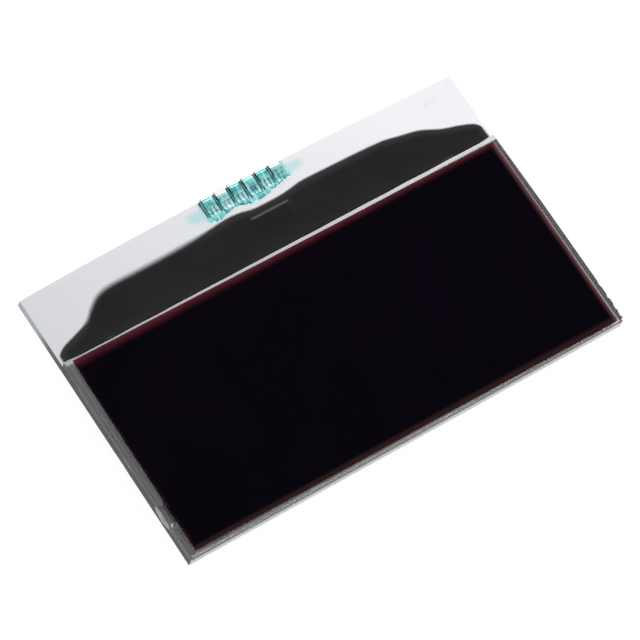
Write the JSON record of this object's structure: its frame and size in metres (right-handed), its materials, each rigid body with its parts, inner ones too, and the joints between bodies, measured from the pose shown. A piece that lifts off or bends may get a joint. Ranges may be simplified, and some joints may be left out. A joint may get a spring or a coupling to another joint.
{
  "type": "lcd screen",
  "caption": "Bare chip-on-glass liquid crystal display cell with a dark polarizer, a clear contact ledge, a coated driver chip and resin-covered edge contacts.",
  "frame": {"origin": "Centre of the bounding box at its lowest plane, where the rear polarizer lies on the table.", "axes": "+X runs along the long edge towards the chipped corner's end, +Y points from the near edge to the contact ledge, and +Z is the viewing direction's face, up from the table."},
  "size_m": [0.0642, 0.0398, 0.0027],
  "materials": {
    "glass": "clear soda-lime sheet with snapped edges",
    "seal": "cured epoxy, seen dark red through the polarizer",
    "liquid_crystal": "thin fluid film, dark between the polarizers",
    "plug_resin": "clear cured resin with a grey-green cast",
    "polarizer_film": "near-black film with a smooth anti-reflection face",
    "silicon": "ground silicon, hidden under the coating",
    "bonding_film": "thin conductive adhesive film",
    "black_coating": "poured rubbery coating with a soft sheen",
    "clip_metal": "tinned spring bronze",
    "teal_resin": "glassy light-cured resin"
  },
  "bodies": {
    "root": {"rear_glass": "glass", "front_glass": "glass", "perimeter_seal": "seal", "liquid_crystal_layer": "liquid_crystal", "fill_port_plug": "plug_resin", "front_polarizer": "polarizer_film", "rear_polarizer": "polarizer_film", "driver_chip": "silicon", "chip_bond_film": "bonding_film", "protective_coating": "black_coating", "contact_resin": "teal_resin", "contact_clip_1": "clip_metal", "contact_clip_2": "clip_metal", "contact_clip_3": "clip_metal", "contact_clip_4": "clip_metal", "contact_clip_5": "clip_metal", "contact_clip_6": "clip_metal"}
  },
  "joints": []
}
